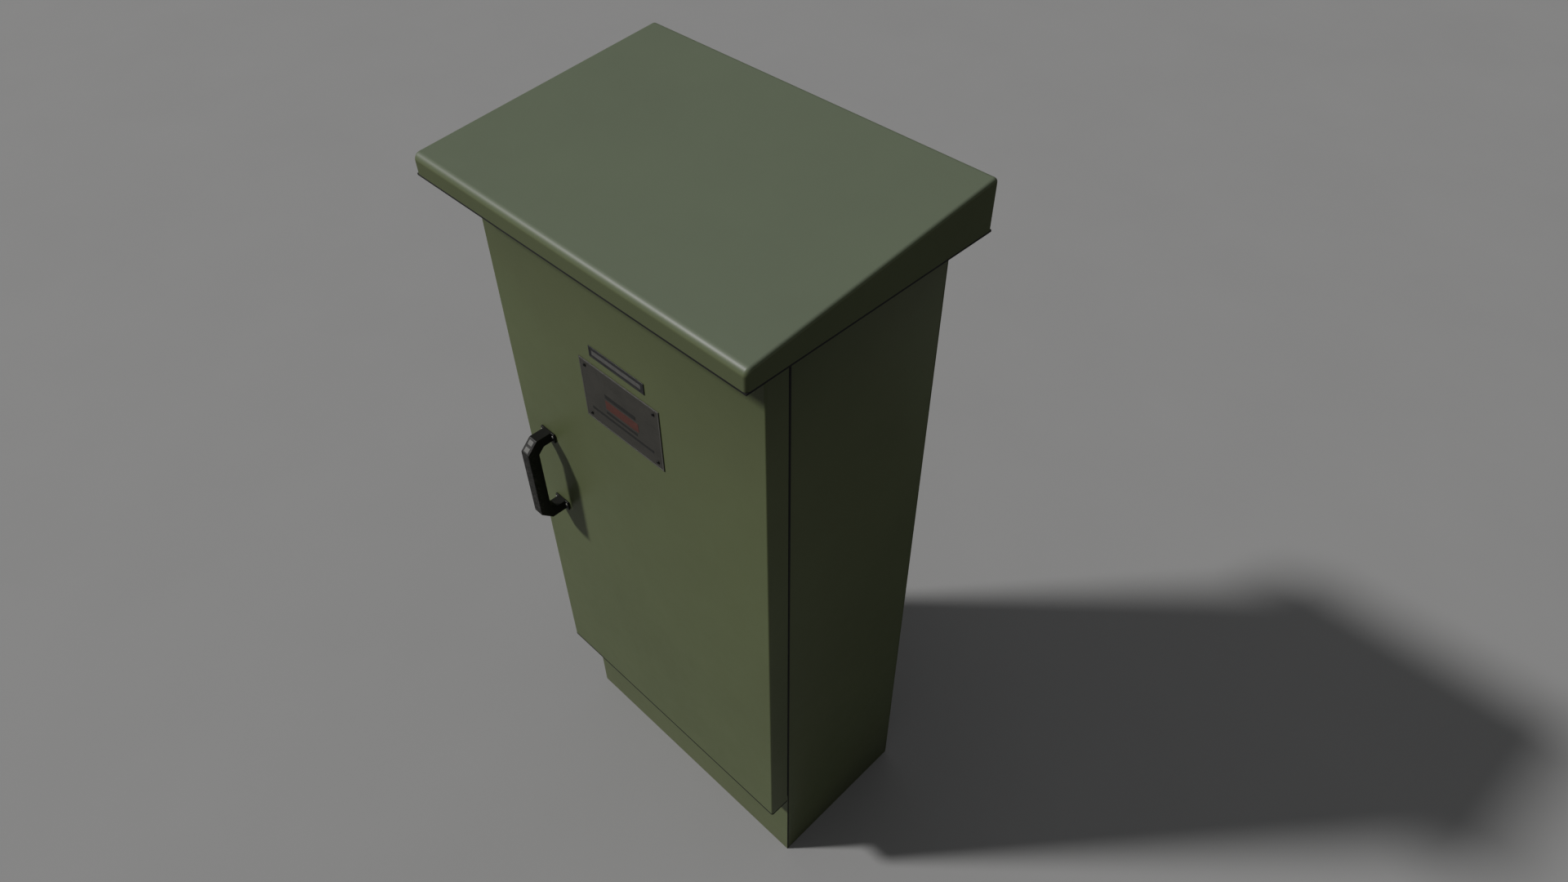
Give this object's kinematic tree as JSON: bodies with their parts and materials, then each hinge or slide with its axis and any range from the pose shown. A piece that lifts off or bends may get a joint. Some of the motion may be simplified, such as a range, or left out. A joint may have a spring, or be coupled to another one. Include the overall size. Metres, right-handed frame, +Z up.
{
  "type": "pad-mounted transformer cabinet",
  "caption": "Slim outdoor transformer kiosk: olive sheet-steel cabinet, sloped rain canopy, one overlay door with bridge handle, dry-type transformer and switchgear inside.",
  "frame": {"origin": "on the ground under the centre of the canopy", "axes": "+Z up, -Y the side the door faces, +X to the right of someone facing the door"},
  "size_m": [0.91, 0.617, 1.9658],
  "materials": {
    "cabinet_paint": "satin olive-green powder coat",
    "inner_paint": "satin olive-green powder coat, unweathered",
    "galvanised": "dull zinc-coated sheet",
    "dark_steel": "black-oxidised steel",
    "handle_black": "black moulded polyamide, worn at the corner",
    "notice_metal": "dull anodised plate",
    "name_strip": "dark engraved laminate, blank",
    "rubber_black": "matt black elastomer",
    "core_steel": "varnished electrical-steel laminations",
    "winding_resin": "cast epoxy resin, red-brown",
    "winding_foil": "copper foil under varnish",
    "laminate": "phenolic board",
    "switch_grey": "dark grey moulded case",
    "module_grey": "pale grey moulded case",
    "toggle_black": "black moulded toggle",
    "knob_red": "red moulded handle",
    "copper": "bare copper bar",
    "duct_grey": "grey PVC duct",
    "lead_black": "black insulated lead",
    "magnet_black": "dark magnet housing"
  },
  "bodies": {
    "cabinet": {"base_channel_left": "galvanised", "base_channel_right": "galvanised", "branch_breaker_1": "module_grey", "branch_breaker_2": "module_grey", "branch_breaker_3": "module_grey", "cable_duct": "duct_grey", "cable_seal": "rubber_black", "canopy_rail_front": "galvanised", "canopy_rail_rear": "galvanised", "core": "core_steel", "core_clamp_lower_front": "dark_steel", "core_clamp_lower_rear": "dark_steel", "core_clamp_upper_front": "dark_steel", "core_clamp_upper_rear": "dark_steel", "din_rail": "galvanised", "door_frame": "cabinet_paint", "earth_bar": "copper", "feeder_breaker": "switch_grey", "floor_plate": "inner_paint", "foot_bearer_left": "galvanised", "foot_bearer_right": "galvanised", "hinge_leaf_frame": "dark_steel", "hinge_pin": "dark_steel", "hv_winding_centre": "winding_resin", "hv_winding_left": "winding_resin", "hv_winding_right": "winding_resin", "isolator_body": "switch_grey", "louvre_lower": "cabinet_paint", "louvre_upper": "cabinet_paint", "lv_winding_centre": "winding_foil", "lv_winding_left": "winding_foil", "lv_winding_right": "winding_foil", "magnet_catch_lower": "magnet_black", "magnet_catch_upper": "magnet_black", "mounting_plate": "galvanised", "neutral_bar": "copper", "primary_harness": "lead_black", "rear_panel": "cabinet_paint", "roof_canopy": "cabinet_paint", "secondary_harness": "lead_black", "side_panel_left": "cabinet_paint", "side_panel_right": "cabinet_paint", "terminal_board_primary": "laminate", "terminal_board_secondary": "laminate", "top_panel": "cabinet_paint"},
    "door": {"door_shell": "cabinet_paint", "door_liner": "cabinet_paint", "door_seal": "rubber_black", "pull_handle": "handle_black", "name_plate": "name_strip", "notice_plate": "notice_metal", "document_pocket": "galvanised", "hinge_leaf_door": "dark_steel", "strike_plate_lower": "galvanised", "strike_plate_upper": "galvanised"},
    "isolator_handle": {"isolator_knob": "knob_red"},
    "feeder_lever": {"feeder_toggle": "toggle_black"},
    "branch_lever_1": {"branch_toggle_1": "toggle_black"},
    "branch_lever_2": {"branch_toggle_2": "toggle_black"},
    "branch_lever_3": {"branch_toggle_3": "toggle_black"}
  },
  "joints": [
    {"name": "door_hinge", "type": "hinge", "parent": "cabinet", "child": "door", "pos_m": [0.4015, -0.16, 1.07], "axis": [0, 0, 1], "range_deg": [0, 120]},
    {"name": "isolator_turn", "type": "hinge", "parent": "cabinet", "child": "isolator_handle", "pos_m": [-0.19, 0.1217, 1.5], "axis": [0, -1, 0], "range_deg": [0, 90]},
    {"name": "feeder_throw", "type": "hinge", "parent": "cabinet", "child": "feeder_lever", "pos_m": [0.165, 0.1397, 1.5], "axis": [1, 0, 0], "range_deg": [0, 50]},
    {"name": "branch_throw_1", "type": "hinge", "parent": "cabinet", "child": "branch_lever_1", "pos_m": [-0.071, 0.1589, 1.23], "axis": [1, 0, 0], "range_deg": [0, 50]},
    {"name": "branch_throw_2", "type": "hinge", "parent": "cabinet", "child": "branch_lever_2", "pos_m": [-0.005, 0.1589, 1.23], "axis": [1, 0, 0], "range_deg": [0, 50]},
    {"name": "branch_throw_3", "type": "hinge", "parent": "cabinet", "child": "branch_lever_3", "pos_m": [0.061, 0.1589, 1.23], "axis": [1, 0, 0], "range_deg": [0, 50]}
  ]
}
